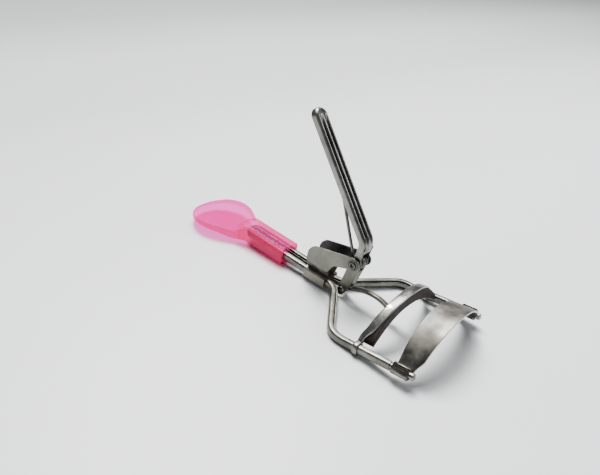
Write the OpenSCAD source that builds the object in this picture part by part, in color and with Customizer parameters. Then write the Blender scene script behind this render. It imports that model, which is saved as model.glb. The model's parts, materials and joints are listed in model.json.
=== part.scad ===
// Single-lever eyelash curler, drawn open.
// A bent sheet-steel bar forms the shank, the arms and the two rails. A fixed jaw closes
// the front of the rails, a padded jaw slides on them, and a bell-crank lever pushes it.
//
// Three frames are used, all with X forward, Y to the left and Z up:
//   rail frame  - z = 0 on the axis of the rails, x = 0 at the pin heads in front
//   shank frame - the rail frame turned about the sill of the bend, so the shank climbs
//   world frame - the rail frame set down on the table, with the origin under the middle

/* [Overall] */
// Distance from the axis of the rails to the centre plane
rail_y = 17.5; // [15:0.5:20]
// Angle by which the shank climbs to the rear, against the rails
shank_climb = 9.4; // [4:0.2:14]

/* [Frame bar] */
// Width of the rolled bar
bar_w = 2.3; // [1.8:0.1:2.6]
// Height of the rolled bar
bar_h = 2.5; // [2:0.1:3]
// Corner radius of the rolled bar
bar_r = 0.7; // [0.5:0.05:0.9]
// Sheet thickness of the rolled bar
bar_wall = 0.5; // [0.4:0.05:0.6]
// Width of the open seam along the bar
seam_w = 0.5; // [0.3:0.05:0.7]
// Distance from the axis of each shank bar to the centre plane
shank_y = 1.5; // [1.4:0.05:1.8]
// Rear end of the shank, where the bar turns back in a hairpin
hairpin_x = -71.5; // [-76:0.5:-68]
// Place where the arms begin to leave the shank
flare_x = -39.7; // [-41:0.1:-38]
// Angle of the arms to the shank
flare_angle = 53.7; // [48:0.1:58]
// Radius of the bend between shank and arm
flare_bend = 5; // [4:0.5:6]
// Radius of the bend between arm and rail
corner_bend = 5; // [4:0.5:7]
// Place of the upward bend between the shank frame and the rails
sill_x = -21.5; // [-23:0.1:-20]
// Front end of the rails
rail_end_x = -6.2; // [-7:0.1:-6]

/* [Fixed jaw] */
// Radius of the outside of the fixed jaw's arch
fixed_arch_r = 19.6; // [18:0.1:22]
// Height of the fixed jaw's crown over the rails
fixed_crown = 9.3; // [8:0.1:10]
// Sheet thickness of the fixed jaw
fixed_sheet = 0.6; // [0.4:0.05:0.8]
// Rear edge of the fixed jaw
fixed_rear_x = -5.2; // [-5.5:0.1:-5]
// Front edge of the fixed jaw at the knuckles
fixed_front_x = 0.4; // [0:0.1:1]
// Forward bow of the fixed jaw's front edge
fixed_bow = 2; // [1:0.1:3]
// Diameter of the rolled knuckles
knuckle_d = 3.3; // [3:0.1:3.6]
// Diameter of the jaw pins
pin_d = 1.9; // [1.6:0.1:2]

/* [Moving jaw] */
// Place of the eyes on the rails with the curler open
eye_x = -16.6; // [-18:0.1:-16]
// Length of each eye along its rail
eye_len = 1.6; // [1.2:0.1:2]
// Height of the moving jaw's crown over the rails
moving_crown = 10.4; // [9.5:0.1:11]
// Height of the lower edge of the channel at the middle
moving_sill = 5.5; // [5:0.1:6.5]
// Sheet thickness of the moving jaw
moving_sheet = 0.45; // [0.35:0.05:0.6]
// Front face of the pad with the curler open
pad_front_x = -12.9; // [-13.2:0.1:-12.8]
// Foremost place of the moving jaw's upper lip
lip_front_x = -12; // [-12.4:0.1:-11.6]

/* [Saddle and lever] */
// Place of the pivot rivet, along the rail frame's X
pivot_x = -29.9; // [-30.5:0.1:-29.5]
// Height of the pivot rivet over the rail axis
pivot_z = 13.2; // [12.8:0.1:13.6]
// Outside diameter of the pivot rivet's shank
rivet_d = 1.8; // [1.6:0.1:2]
// Outside diameter of the rivet's rolled rims
rivet_rim_d = 3.3; // [3:0.1:3.6]
// Sheet thickness of the saddle
saddle_sheet = 0.5; // [0.45:0.05:0.65]
// Clear gap between the saddle's two ears
ear_gap = 5; // [4.8:0.1:5.4]
// Width of the lever
lever_w = 4.4; // [4:0.1:4.6]
// Depth of the lever's channel
lever_depth = 2.2; // [1.8:0.1:2.6]
// Length of the lever's straight part
lever_len = 34.8; // [31:0.2:38]
// Angle of the open lever above the rails
lever_angle = 59.8; // [55:0.2:66]
// Bend near the foot of the lever
lever_bend = 50; // [42:1:54]
// Place of the crank pin, behind the pivot
crank_back = 4.4; // [4.2:0.1:4.6]
// Place of the crank pin, below the pivot
crank_drop = 10.1; // [9.8:0.1:10.4]

/* [Push rod and spring] */
// Diameter of the push rod
rod_d = 1.1; // [0.9:0.1:1.3]
// Rise of the push rod's straight part
rod_rise = 12; // [8:1:14]
// Length of the push rod's straight part
rod_straight = 7; // [6:0.1:8]
// Radius of the push rod's curved part
rod_curve_r = 9.5; // [8:0.5:11]
// Diameter of the return spring's wire
spring_d = 0.7; // [0.5:0.05:0.8]

/* [Handle] */
// Front end of the handle's socket
socket_front_x = -56.6; // [-58:0.2:-54]
// Width of the socket
socket_w = 7.6; // [7:0.1:9]
// Height of the socket
socket_h = 6; // [5.6:0.1:7]
// Radius of the thumb blade's round end
blade_r = 9.6; // [8.5:0.1:11]
// Place of the centre of the blade's round end
blade_x = -86.9; // [-90:0.1:-84]
// Place of the blade's crown along its length
crown_x = -92; // [-94:0.5:-88]
// Height of the blade's crown over the rail axis
crown_z = 10.5; // [9.5:0.1:11]
// Thickness of the blade at its crown
blade_t = 1.3; // [1:0.1:2]
// Radius of the curve of the blade's top
top_curve = 90; // [60:5:120]
// Radius of the curve of the blade's underside, which sweeps up from the socket
under_curve = 38; // [34:1:44]

/* [Hidden] */
$fn = 48;
fit = 0.05;
steel = [0.62, 0.61, 0.58];

// The curler lies on the lower rear edges of the moving jaw's eyes and on the lower front
// edge of the socket, which sets the tilt of the rails against the table
eye_gap = 0.05;
eye_wall = 0.45;
eye_low = -bar_h / 2 - eye_gap - eye_wall;
contact_x = eye_x - eye_len / 2;
socket_drop = 0.1;
socket_foot = from_shank([socket_front_x, -socket_drop - socket_h / 2]);
rest_tilt = atan2(socket_foot[1] - eye_low, contact_x - socket_foot[0]);
front_x = fixed_front_x + fixed_bow;
front_edge = front_x * cos(rest_tilt) - (fixed_crown - fixed_sheet) * sin(rest_tilt);
rear_x = blade_x - blade_r;
rear_top_z = crown_z - top_curve + sqrt(pow(top_curve, 2) - pow(rear_x - crown_x, 2));
rear_edge = rear_x * cos(rest_tilt) - rear_top_z * sin(rest_tilt);
middle_x = (front_edge + rear_edge) / 2;
table_z = eye_low * cos(rest_tilt) + contact_x * sin(rest_tilt);

// Tangent lengths of the bends and the straight stretch of each arm
flare_t = flare_bend * tan(flare_angle / 2);
corner_t = corner_bend * tan(flare_angle / 2);
sill_lap = bar_h / 2 * tan(shank_climb / 2);
bend_lap = 0.15;
bend_swell = 0.02;
arm_len = (rail_y - shank_y) / sin(flare_angle) - flare_t - corner_t;
arm_start = [flare_x + flare_bend * sin(flare_angle), -shank_y - flare_bend * (1 - cos(flare_angle))];
arm_end = arm_start + arm_len * [cos(flare_angle), -sin(flare_angle)];
corner_end_x = arm_end[0] + corner_bend * sin(flare_angle);

// Extent of the blocks that only cut or keep other shapes
block = 40;

// Moving jaw: two arches of different rise leave a crescent between them
rail_gap = 0.07;
moving_half = rail_y - bar_w / 2 - rail_gap;
pad_half = 15.5;
pad_gap = 0.03;
bow_half = 17;
top_rise = moving_crown - 1;
low_half = 16.3;
low_rise = moving_sill + 0.7;
moving_top_r = (pow(bow_half, 2) + pow(top_rise, 2)) / (2 * top_rise);
moving_low_r = (pow(low_half, 2) + pow(low_rise, 2)) / (2 * low_rise);
channel_depth = 2;
moving_back_x = pad_front_x - channel_depth;
lip_bow = 3.2;
back_bow = 2.35;
jaw_block_x = -22;
jaw_block = 12;

// Crank, its pin and the end of the push rod's straight part
crank_sheet = 0.5;
crank_w = 3.2;
crank_pin_d = 1;
pin_place = [pivot_x - crank_back, pivot_z - crank_drop];
rod_dir = [cos(rod_rise), sin(rod_rise)];
rod_bend_at = pin_place + rod_straight * rod_dir;

// Lever: a foot on the pivot, a bend, and the long straight part
lever_r = 4;
lever_leg = 5.2;
lever_dir = [cos(lever_angle), -sin(lever_angle)];
lever_foot_dir = [cos(lever_angle + lever_bend), -sin(lever_angle + lever_bend)];
lever_leg_top = [pivot_x, pivot_z] - lever_leg * lever_foot_dir;
lever_bend_centre = lever_leg_top + lever_r * [lever_foot_dir[1], -lever_foot_dir[0]];
lever_bend_top = lever_bend_centre - lever_r * [lever_dir[1], -lever_dir[0]];
lever_tip = lever_bend_top - lever_len * lever_dir;

// Points of an arc of radius r about c, from angle a to angle b
function arc(c, r, a, b, steps = 4) =
    [for (i = [0:steps]) c + r * [cos(a + (b - a) * i / steps), sin(a + (b - a) * i / steps)]];

// A rectangle with rounded corners
module rounded(w, h, r) {
    u = w / 2 - r;
    v = h / 2 - r;
    polygon(concat(
        arc([u, v], r, 0, 90), arc([-u, v], r, 90, 180),
        arc([-u, -v], r, 180, 270), arc([u, -v], r, 270, 360)
    ));
}

// A side-view point of the shank frame, measured in the rail frame
function from_shank(p) =
    let (dx = p[0] - sill_x, c = cos(shank_climb), s = sin(shank_climb))
        [sill_x + dx * c + p[1] * s, p[1] * c - dx * s];

// The pivot's place, measured in the shank frame
function shank_pivot() =
    let (dx = pivot_x - sill_x, c = cos(shank_climb), s = sin(shank_climb))
        [sill_x + dx * c - pivot_z * s, dx * s + pivot_z * c];

// The rolled bar's section: x is towards the centre plane, y is up
module bar_section(swell = 0) {
    inner = bar_wall + swell;
    seam = seam_w - 2 * swell;
    seam_angle = 40;
    difference() {
        rounded(bar_w + 2 * swell, bar_h + 2 * swell, bar_r + swell);
        square([bar_w - 2 * inner, bar_h - 2 * inner], center = true);
        rotate(seam_angle)
            translate([0, -seam / 2])
                square([bar_w, seam]);
    }
}

// A bend of the bar about Z, from angle a on through turn; the metal swells a little in a
// bend, and the bend laps over the straight runs at both of its ends
module bar_bend(r, a, turn, flip) {
    lap = bend_lap / r * 180 / PI;
    rotate([0, 0, a - lap])
        rotate_extrude(angle = turn + 2 * lap)
            translate([r, 0])
                mirror([flip, 0])
                    bar_section(bend_swell);
}

// Turns a drawing in the plane of Y and Z into a solid along X
module along_x(length) {
    rotate([90, 0, 90])
        linear_extrude(length)
            children();
}

// Turns a drawing in the plane of X and Z into a solid centred on y
module across_y(width) {
    rotate([90, 0, 0])
        linear_extrude(width, center = true)
            children();
}

// A rod between two points of the plane y = 0
module bar_between(p, q, d) {
    step = q - p;
    translate([p[0], 0, p[1]])
        rotate([0, 90 - atan2(step[1], step[0]), 0])
            cylinder(d = d, h = norm(step));
}

// A pin along Y
module pin_y(d, length) {
    rotate([90, 0, 0])
        cylinder(d = d, h = length, center = true);
}

module in_world() {
    translate([-middle_x, 0, -table_z])
        rotate([0, -rest_tilt, 0])
            children();
}

module in_shank() {
    translate([sill_x, 0, 0])
        rotate([0, shank_climb, 0])
            translate([-sill_x, 0, 0])
                children();
}

// The near half and its mirror image
module both_sides() {
    children();
    mirror([0, 1, 0])
        children();
}

// ---- frame bar ----

module bar_flat_half() {
    translate([hairpin_x, -shank_y, 0])
        along_x(flare_x - hairpin_x)
            bar_section();
    translate([flare_x, -shank_y - flare_bend, 0])
        bar_bend(flare_bend, 90 - flare_angle, flare_angle, 0);
    translate([arm_start[0], arm_start[1], 0])
        rotate([0, 0, -flare_angle])
            along_x(arm_len)
                bar_section();
    translate([corner_end_x, -rail_y + corner_bend, 0])
        bar_bend(corner_bend, 270 - flare_angle, flare_angle, 1);
    translate([corner_end_x, -rail_y, 0])
        along_x(sill_x + sill_lap - corner_end_x)
            bar_section();
}

module frame_bar() {
    color(steel)
        in_world() {
            in_shank() {
                both_sides()
                    bar_flat_half();
                translate([hairpin_x, 0, 0])
                    bar_bend(shank_y, 90, 180, 1);
            }
            both_sides()
                translate([sill_x - sill_lap, -rail_y, 0])
                    along_x(rail_end_x - sill_x + sill_lap)
                        bar_section();
        }
}

// ---- handle ----

module handle_grip() {
    corner = 1.6;
    pocket_fit = 0.04;
    rear_wall = 4.5;
    pocket_w = 2 * shank_y + bar_w + pocket_fit;
    pocket_h = bar_h + pocket_fit;
    socket_rear_x = hairpin_x - rear_wall;
    color([0.95, 0.4, 0.65, 0.8])
        in_world()
            difference() {
                union() {
                    in_shank()
                        translate([socket_rear_x, 0, -socket_drop])
                            along_x(socket_front_x - socket_rear_x)
                                rounded(socket_w, socket_h, corner);
                    intersection() {
                        linear_extrude(block, center = true)
                            blade_outline();
                        across_y(3 * blade_r)
                            blade_side();
                    }
                }
                in_shank() {
                    translate([hairpin_x, 0, 0])
                        cylinder(d = pocket_w, h = pocket_h, center = true);
                    translate([hairpin_x, -pocket_w / 2, -pocket_h / 2])
                        cube([socket_front_x - hairpin_x + 1, pocket_w, pocket_h]);
                }
            }
}

// Side view of the blade: a thin crown, thicker towards the socket
module blade_side() {
    root = 22;
    tail = 8;
    top_centre = [crown_x, crown_z - top_curve];
    under_centre = [crown_x, crown_z - blade_t - under_curve];
    top_span = [acos(root / top_curve), acos(-tail / top_curve)];
    under_span = [acos(root / under_curve), acos(-tail / under_curve)];
    polygon(concat(
        arc(top_centre, top_curve, top_span[0], top_span[1], 12),
        arc(under_centre, under_curve, under_span[1], under_span[0], 12)
    ));
}

// Plan view of the blade: it widens from the socket to its round end
module blade_outline() {
    neck = [-75.4, socket_w / 2];
    neck_angle = 50;
    polygon(concat(
        [neck],
        arc([blade_x, 0], blade_r, neck_angle, 360 - neck_angle, 28),
        [[neck[0], -neck[1]]]
    ));
}

// ---- saddle ----

// The saddle's section: a wrap round both bars, whose upper edges turn up into the ears
module saddle_section() {
    s = saddle_sheet;
    side = shank_y + bar_w / 2 + fit;
    top = bar_h / 2 + fit;
    ear = ear_gap / 2;
    root = 1;
    rise = 3;
    ear_top = 16;
    slant = 0.2;
    half = [
        [side + s, -top - s], [side + s, top + s], [root + s, top + s],
        [ear + s, top + rise - slant / 2], [ear + s, ear_top], [ear, ear_top], [ear, top + rise + slant],
        [root, top + s + slant], [root, top], [side, top], [side, -top]
    ];
    last = len(half) - 1;
    polygon(concat(half, [for (i = [last:-1:0]) [-half[i][0], half[i][1]]]));
}

// Side view of the saddle in the shank frame
module saddle_outline() {
    pivot = shank_pivot();
    rear = -47.8;
    front = -39.9;
    low = -2.5;
    corner = [rear + 4, 6.7];
    corner_r = 4;
    ear_r = 2.1;
    notch = [[front, 4.2], [-38.3, 7.6], [-37, 8.3]];
    polygon(concat(
        [[front, low]],
        notch,
        arc(pivot, ear_r, -115, 100),
        arc(corner, corner_r, 115, 180),
        [[rear, low]]
    ));
}

module saddle_bracket() {
    pivot = shank_pivot();
    blank_x = -50;
    blank_len = 25;
    blank_w = 12;
    color(steel)
        in_world()
            in_shank()
                difference() {
                    intersection() {
                        translate([blank_x, 0, 0])
                            along_x(blank_len)
                                saddle_section();
                        across_y(blank_w)
                            saddle_outline();
                    }
                    translate([pivot[0], 0, pivot[1]])
                        pin_y(rivet_d + 2 * fit, blank_w);
                }
}

module pivot_rivet() {
    rim_t = 0.45;
    rivet_wall = 0.35;
    outside = ear_gap + 2 * saddle_sheet;
    color(steel)
        in_world()
            translate([pivot_x, 0, pivot_z])
                difference() {
                    union() {
                        pin_y(rivet_d, outside + 2 * rim_t);
                        for (side = [-1, 1])
                            translate([0, side * (outside + rim_t) / 2, 0])
                                pin_y(rivet_rim_d, rim_t);
                    }
                    pin_y(rivet_d - 2 * rivet_wall, 2 * outside);
                }
}

module pivot_spacer() {
    wall = 0.3;
    end_gap = 0.05;
    length = crank_w - 2 * crank_sheet - 2 * end_gap;
    color(steel)
        in_world()
            translate([pivot_x, 0, pivot_z])
                difference() {
                    pin_y(rivet_d + 2 * wall, length);
                    pin_y(rivet_d + 2 * fit, 2 * length);
                }
}

// ---- fixed jaw ----

module arch(outer_r, crown, thickness) {
    difference() {
        translate([0, crown - outer_r])
            circle(outer_r, $fn = 128);
        translate([0, crown - outer_r])
            circle(outer_r - thickness, $fn = 128);
        translate([-2 * outer_r, -4 * outer_r])
            square([4 * outer_r, 4 * outer_r]);
        for (side = [-1, 1])
            translate([side * (rail_y + outer_r), 0])
                square(2 * outer_r, center = true);
    }
}

module fixed_jaw() {
    bow_r = (rail_y * rail_y + fixed_bow * fixed_bow) / (2 * fixed_bow);
    knuckle_len = 4.7;
    knuckle_back = 0.4;
    color(steel)
        in_world()
            difference() {
                union() {
                    intersection() {
                        translate([fixed_rear_x, 0, 0])
                            along_x(front_x - fixed_rear_x)
                                arch(fixed_arch_r, fixed_crown, fixed_sheet);
                        translate([front_x - bow_r, 0, 0])
                            cylinder(r = bow_r, h = block, center = true, $fn = 256);
                    }
                    for (side = [-1, 1])
                        translate([fixed_rear_x - knuckle_back, side * rail_y, 0])
                            rotate([0, 90, 0])
                                cylinder(d = knuckle_d, h = knuckle_len);
                }
                for (side = [-1, 1])
                    translate([fixed_rear_x, side * rail_y, 0])
                        rotate([0, 90, 0])
                            cylinder(d = pin_d + 2 * fit, h = block, center = true);
            }
}

// A headed pin: its tail sits inside the hollow rail, its body inside the knuckle
module jaw_pin() {
    tail_d = 1.2;
    tail_len = 3;
    lap = 0.5;
    head_d = pin_d + 0.05;
    head_x = -0.6;
    head_t = 1.1;
    color(steel) {
        translate([rail_end_x - tail_len, 0, 0])
            rotate([0, 90, 0])
                cylinder(d = tail_d, h = tail_len + lap);
        translate([rail_end_x, 0, 0])
            rotate([0, 90, 0])
                cylinder(d = pin_d, h = head_x - rail_end_x + lap);
        translate([head_x, 0, 0])
            rotate([0, 90, 0])
                cylinder(d = head_d, h = head_t);
    }
}

module jaw_pin_left() {
    in_world()
        translate([0, rail_y, 0])
            jaw_pin();
}

module jaw_pin_right() {
    in_world()
        translate([0, -rail_y, 0])
            jaw_pin();
}

// ---- moving jaw ----

// A crescent between two arches, drawn inwards from both edges by inset, and half wide
module crescent(inset, half) {
    difference() {
        translate([0, moving_crown - moving_top_r])
            circle(moving_top_r - inset, $fn = 128);
        translate([0, moving_sill - moving_low_r])
            circle(moving_low_r + inset, $fn = 128);
        translate([-block, -0.8 - block])
            square([2 * block, block]);
        for (side = [-1, 1])
            translate([side * (half + block / 2), 0])
                square(block, center = true);
    }
}

// The space behind a bowed front: a plan circle whose foremost point is at x
module behind_bow(x, bow) {
    r = (pow(bow_half, 2) + pow(bow, 2)) / (2 * bow);
    translate([x - r, 0, 0])
        cylinder(r = r, h = block, center = true, $fn = 256);
}

// The part of a drawing in the plane of Y and Z that lies in the jaw's block
module in_jaw_block() {
    translate([jaw_block_x, 0, 0])
        along_x(jaw_block)
            children();
}

// Everything in front of a bowed surface
module before_bow(x, bow) {
    difference() {
        cube(2 * block, center = true);
        behind_bow(x, bow);
    }
}

// The lug that holds the end of the push rod, bent down from the jaw's back
module jaw_lug() {
    lug_w = 2.2;
    root_z = moving_sill + 1.5;
    root_lap = 0.3;
    root_back = 0.4;
    foot = [[-17.5, 1.2], [-18.3, 1.5], [-18.3, 2.3]];
    across_y(lug_w)
        polygon(concat(
            [[moving_back_x + root_lap, root_z], [moving_back_x + root_lap, moving_sill]],
            foot,
            [[moving_back_x - root_back, root_z]]
        ));
}

module moving_jaw() {
    color(steel)
        in_world() {
            difference() {
                intersection() {
                    in_jaw_block()
                        crescent(0, moving_half);
                    behind_bow(lip_front_x, lip_bow);
                }
                behind_bow(moving_back_x, back_bow);
                intersection() {
                    in_jaw_block()
                        crescent(moving_sheet, moving_half - moving_sheet);
                    before_bow(moving_back_x + moving_sheet, back_bow);
                }
            }
            jaw_lug();
            both_sides()
                translate([eye_x - eye_len / 2, -rail_y, 0])
                    along_x(eye_len)
                        eye_section();
        }
}

// A collar that runs on the rail
module eye_section() {
    hole_r = bar_r + eye_gap;
    difference() {
        rounded(bar_w + 2 * eye_gap + 2 * eye_wall, bar_h + 2 * eye_gap + 2 * eye_wall, hole_r + eye_wall);
        rounded(bar_w + 2 * eye_gap, bar_h + 2 * eye_gap, hole_r);
    }
}

module jaw_pad() {
    color([0.16, 0.12, 0.1])
        in_world()
            intersection() {
                in_jaw_block()
                    crescent(moving_sheet + pad_gap, pad_half);
                translate([pad_front_x - block, -block, -block])
                    cube([block, 2 * block, 2 * block]);
                before_bow(moving_back_x + moving_sheet + pad_gap, back_bow);
            }
}

// ---- push rod and crank pin ----

module push_rod() {
    curve_angle = 45 + rod_rise;
    eye_d = 2.2;
    eye_t = 1.4;
    eye_bore = 1.02;
    lap = 0.3;
    slim = 0.04;
    color(steel)
        in_world()
            difference() {
                union() {
                    translate([pin_place[0], 0, pin_place[1]])
                        pin_y(eye_d, eye_t);
                    bar_between(pin_place, rod_bend_at + lap * rod_dir, rod_d - slim);
                    translate([rod_bend_at[0], 0, rod_bend_at[1]])
                        rotate([0, -rod_rise, 0])
                            translate([0, 0, -rod_curve_r])
                                rotate([90, 0, 0])
                                    rotate([0, 0, 90 - curve_angle])
                                        rotate_extrude(angle = curve_angle)
                                            translate([rod_curve_r, 0])
                                                circle(d = rod_d);
                }
                translate([pin_place[0], 0, pin_place[1]])
                    pin_y(eye_bore, 2 * eye_t);
            }
}

module crank_pin() {
    head_d = 1.8;
    head_t = 0.3;
    side_gap = 0.05;
    color(steel)
        in_world()
            translate([pin_place[0], 0, pin_place[1]]) {
                pin_y(crank_pin_d, crank_w + head_t);
                for (side = [-1, 1])
                    translate([0, side * (crank_w / 2 + side_gap + head_t / 2), 0])
                        pin_y(head_d, head_t);
            }
}

// ---- lever, crank and spring ----

// The lever's channel: x is forward, across the lever, and y is along its width
module lever_section(swell = 0) {
    wall = 0.6 + swell;
    back = 1.6 + swell;
    flute_d = 0.9 - 2 * swell;
    flute_y = 0.85;
    flute_out = 0.15;
    corner_r = 0.9;
    beyond = 1;
    difference() {
        rounded(lever_depth + 2 * swell, lever_w + 2 * swell, corner_r + swell);
        translate([-lever_depth, wall - lever_w / 2])
            square([2 * lever_depth - back + beyond, lever_w - 2 * wall]);
        for (side = [-1, 1])
            translate([lever_depth / 2 + flute_out + swell, side * flute_y])
                circle(d = flute_d);
    }
}

module lever() {
    lap = bend_lap / lever_r * 180 / PI;
    leg_t = 0.5;
    leg_inset = 0.3;
    color(steel)
        in_world()
            difference() {
                union() {
                    translate([lever_bend_top[0], 0, lever_bend_top[1]])
                        rotate([0, lever_angle - 90, 0])
                            linear_extrude(lever_len)
                                lever_section();
                    translate([lever_bend_centre[0], 0, lever_bend_centre[1]])
                        rotate([90, 0, 0])
                            rotate([0, 0, 90 - lever_angle - lever_bend])
                                rotate_extrude(angle = lever_bend + lap)
                                    translate([lever_r, 0])
                                        lever_section(bend_swell);
                    translate([pivot_x, 0, pivot_z])
                        rotate([0, lever_angle + lever_bend - 90, 0])
                            for (side = [-1, 1])
                                translate([0, side * (lever_w / 2 - leg_inset), 0])
                                    across_y(leg_t)
                                        lever_leg_outline();
                    translate([lever_tip[0], 0, lever_tip[1]])
                        rotate([0, lever_angle - 90, 0])
                            lever_dome();
                }
                translate([pivot_x, 0, pivot_z])
                    pin_y(rivet_d + 2 * fit, 10);
            }
}

// Side view of each of the two legs that reach from the bend down to the rivet
module lever_leg_outline() {
    half = lever_depth / 2;
    top = lever_leg + 0.4;
    eye_r = 1.8;
    shoulder = 2.5;
    polygon(concat(
        [[half, top], [-half, top], [-half, shoulder]],
        arc([0, 0], eye_r, 180, 360, 8),
        [[half, shoulder]]
    ));
}

// The closed, domed tip
module lever_dome() {
    inset = 0.02;
    lap = 0.3;
    intersection() {
        rotate([0, 90, 0])
            cylinder(r = lever_w / 2 - inset, h = lever_depth - 2 * inset, center = true);
        translate([-lever_depth, -lever_w, -lap])
            cube([2 * lever_depth, 2 * lever_w, lever_w]);
    }
}

module lever_crank() {
    slot_d = 1.4;
    foot = 2.3;
    side_r = 1.15;
    web_x = 1.35;
    web_low = 3.2;
    web_top = 2.1;
    reach = norm([crank_back, crank_drop]);
    lean = atan2(crank_back, crank_drop);
    color(steel)
        in_world()
            translate([pivot_x, 0, pivot_z])
                rotate([0, lean, 0])
                    difference() {
                        union() {
                            for (side = [-1, 1])
                                translate([0, side * (crank_w - crank_sheet) / 2, 0])
                                    across_y(crank_sheet)
                                        crank_cheek(reach + foot, side_r);
                            translate([web_x, -crank_w / 2, web_low - reach])
                                cube([crank_sheet, crank_w, reach - web_low - web_top]);
                        }
                        pin_y(rivet_d + 2 * fit, 2 * crank_w);
                        for (at = [-reach, -crank_drop])
                            translate([0, 0, at])
                                pin_y(slot_d, 2 * crank_w);
                        translate([-slot_d / 2, -crank_w, -reach])
                            cube([slot_d, 2 * crank_w, reach - crank_drop]);
                    }
}

// Side view of one cheek, hanging from the pivot
module crank_cheek(length, side_r) {
    top_r = 1.85;
    low = side_r - length;
    web_foot = [side_r + 0.7, 4.5 - length];
    web_head = -5.5;
    circle(top_r);
    translate([0, low])
        circle(side_r);
    polygon([[-top_r, 0], [-side_r, low], [side_r, low], web_foot, [top_r, web_head], [top_r, 0]]);
}

module return_spring() {
    coil_r = 1.65;
    coil_w = 1.6;
    foot_at = [pivot_x - coil_r, pivot_z];
    knee = [pivot_x - 3.3, pivot_z + 6.3];
    waist = [pivot_x - 5.7, pivot_z + 14];
    tip = [pivot_x - 8.3, pivot_z + 22.3];
    joint_swell = 0.06;
    color(steel)
        in_world() {
            translate([pivot_x, 0, pivot_z])
                difference() {
                    pin_y(2 * coil_r + spring_d, coil_w);
                    pin_y(2 * coil_r - spring_d, 2 * coil_w);
                }
            bar_between(foot_at, knee, spring_d);
            bar_between(knee, waist, spring_d);
            bar_between(waist, tip, spring_d);
            for (p = [knee, waist, tip])
                translate([p[0], 0, p[1]])
                    sphere(d = spring_d + joint_swell);
        }
}

frame_bar();
handle_grip();
saddle_bracket();
pivot_rivet();
pivot_spacer();
fixed_jaw();
jaw_pin_left();
jaw_pin_right();
lever();
lever_crank();
return_spring();
moving_jaw();
jaw_pad();
push_rod();
crank_pin();
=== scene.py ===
import json
import math

import bmesh
import bpy
from mathutils import Matrix, Vector


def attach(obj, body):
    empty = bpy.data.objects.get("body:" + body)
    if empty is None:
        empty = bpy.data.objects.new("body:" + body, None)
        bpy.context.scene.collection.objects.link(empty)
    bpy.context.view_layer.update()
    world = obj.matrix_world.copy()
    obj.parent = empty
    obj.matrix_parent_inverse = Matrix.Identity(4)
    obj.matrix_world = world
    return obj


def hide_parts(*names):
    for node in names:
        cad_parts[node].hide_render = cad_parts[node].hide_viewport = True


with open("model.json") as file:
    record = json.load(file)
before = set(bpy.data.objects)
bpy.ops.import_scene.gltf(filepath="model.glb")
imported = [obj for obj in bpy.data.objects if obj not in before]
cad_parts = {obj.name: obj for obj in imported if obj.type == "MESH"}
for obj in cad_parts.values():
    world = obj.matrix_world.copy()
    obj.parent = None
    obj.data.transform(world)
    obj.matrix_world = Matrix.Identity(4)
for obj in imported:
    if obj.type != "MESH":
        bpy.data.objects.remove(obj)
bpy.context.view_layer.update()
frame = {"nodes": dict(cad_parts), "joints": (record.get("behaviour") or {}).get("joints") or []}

SAME_POINT = 0.000001


# ---- The rail frame: millimetres, X forward along the rails, Z up from their axis ----

JOINTS = {joint["name"]: joint for joint in frame["joints"]}
SLIDE = Vector(JOINTS["jaw_slide"]["axis"]).normalized()
HINGE = Vector(JOINTS["lever_hinge"]["pos_m"])
PIVOT = Vector((-29.9, 0.0, 13.2))
MM = 0.001
TURN = Matrix.Rotation(-math.atan2(SLIDE.z, SLIDE.x), 3, "Y")


def at(p):
    """A rail-frame point in millimetres, as a point of the row frame in metres."""
    return HINGE + TURN @ (Vector(p) - PIVOT) * MM


# ---- Camera ----

EYE = (52.4, -122.1, 94.9)
AHEAD = Vector((-0.5786, 0.6772, -0.4546)).normalized()
UP = Vector((-0.3168, 0.3270, 0.8904))
LENS = 35.9
SENSOR = 36.0
NEAREST = 0.005

camera_data = bpy.data.cameras.new("camera")
camera_data.lens = LENS
camera_data.sensor_width = SENSOR
camera_data.clip_start = NEAREST
camera = bpy.data.objects.new("camera", camera_data)
bpy.context.scene.collection.objects.link(camera)
ahead = TURN @ AHEAD
right = ahead.cross(TURN @ UP).normalized()
turned_camera = Matrix((right, right.cross(ahead), -ahead)).transposed()
camera.matrix_world = Matrix.Translation(at(EYE)) @ turned_camera.to_4x4()
bpy.context.scene.camera = camera


# ---- Node helpers ----

PAINTED_LIGHT = "painted_light"


def material(name):
    m = bpy.data.materials.new(name)
    m.use_nodes = True
    m.node_tree.nodes.clear()
    return m


def node(m, kind, **values):
    n = m.node_tree.nodes.new(kind)
    for key, value in values.items():
        setattr(n, key, value)
    return n


def link(m, a, b):
    m.node_tree.links.new(a, b)


def ramp(m, source, stops):
    n = node(m, "ShaderNodeValToRGB")
    while len(n.color_ramp.elements) < len(stops):
        n.color_ramp.elements.new(0.5)
    for element, (place, colour) in zip(n.color_ramp.elements, stops):
        element.position = place
        element.color = (*colour, 1.0)
    link(m, source, n.inputs["Fac"])
    return n.outputs["Color"]


def grey(v):
    return (v, v, v)


def times(colour, share):
    return tuple(share * v for v in colour)


def noise(m, where, scale, detail, rough=0.55):
    n = node(m, "ShaderNodeTexNoise")
    n.inputs["Scale"].default_value = scale
    n.inputs["Detail"].default_value = detail
    n.inputs["Roughness"].default_value = rough
    link(m, where, n.inputs["Vector"])
    return n.outputs["Fac"]


def mix_colour(m, factor, a, b, how="MIX"):
    n = node(m, "ShaderNodeMix", data_type="RGBA", blend_type=how)
    for value, socket in ((factor, n.inputs[0]), (a, n.inputs[6]), (b, n.inputs[7])):
        if isinstance(value, (int, float)):
            socket.default_value = value
        elif isinstance(value, tuple):
            socket.default_value = (*value, 1.0)
        else:
            link(m, value, socket)
    return n.outputs[2]


def negative(m, source):
    n = node(m, "ShaderNodeMath", operation="MULTIPLY")
    n.inputs[1].default_value = -1.0
    link(m, source, n.inputs[0])
    return n.outputs[0]


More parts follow.
